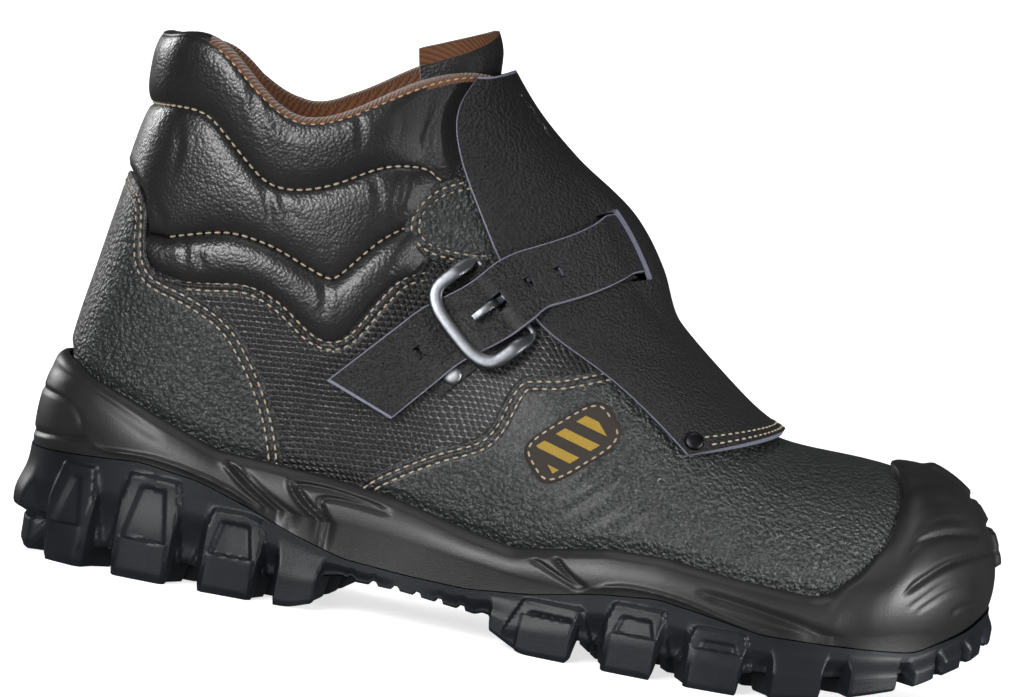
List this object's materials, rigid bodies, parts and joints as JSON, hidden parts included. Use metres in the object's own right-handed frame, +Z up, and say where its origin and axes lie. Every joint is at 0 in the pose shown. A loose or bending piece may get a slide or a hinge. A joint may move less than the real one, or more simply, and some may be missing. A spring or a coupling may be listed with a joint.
{
  "type": "welding safety shoe",
  "caption": "Black leather welding safety boot for the right foot with a spark flap over the throat, a buckled strap, a padded collar, a moulded toe guard and a lugged rubber sole.",
  "frame": {"origin": "middle of the shoe's length and width at the ground", "axes": "+X towards the toe, -Y towards the lateral side, +Z up"},
  "size_m": [0.3116, 0.1152, 0.182],
  "materials": {
    "outsole": "moulded blue-black rubber, satin",
    "midsole": "moulded warm grey-black foam rubber, fine grain",
    "insole": "brown woven footbed cover",
    "upper": "black pebble-grain leather, semi-gloss, with a brown ribbed lining",
    "tongue": "soft black leather with a brown ribbed lining",
    "flap": "thick charcoal leather with pale cut edges",
    "strap": "thick charcoal leather with pale cut edges",
    "steel": "satin grey steel",
    "rivet": "dark lacquered steel"
  },
  "bodies": {
    "root": {"outsole": "outsole", "midsole": "midsole", "insole": "insole", "upper": "upper", "tongue": "tongue", "flap": "flap", "strap": "strap", "buckle_frame": "steel", "buckle_prong": "steel", "buckle_tab": "strap", "tab_rivet_1": "rivet", "tab_rivet_2": "rivet", "flap_rivet_lateral": "rivet", "flap_rivet_medial": "rivet"}
  },
  "joints": []
}
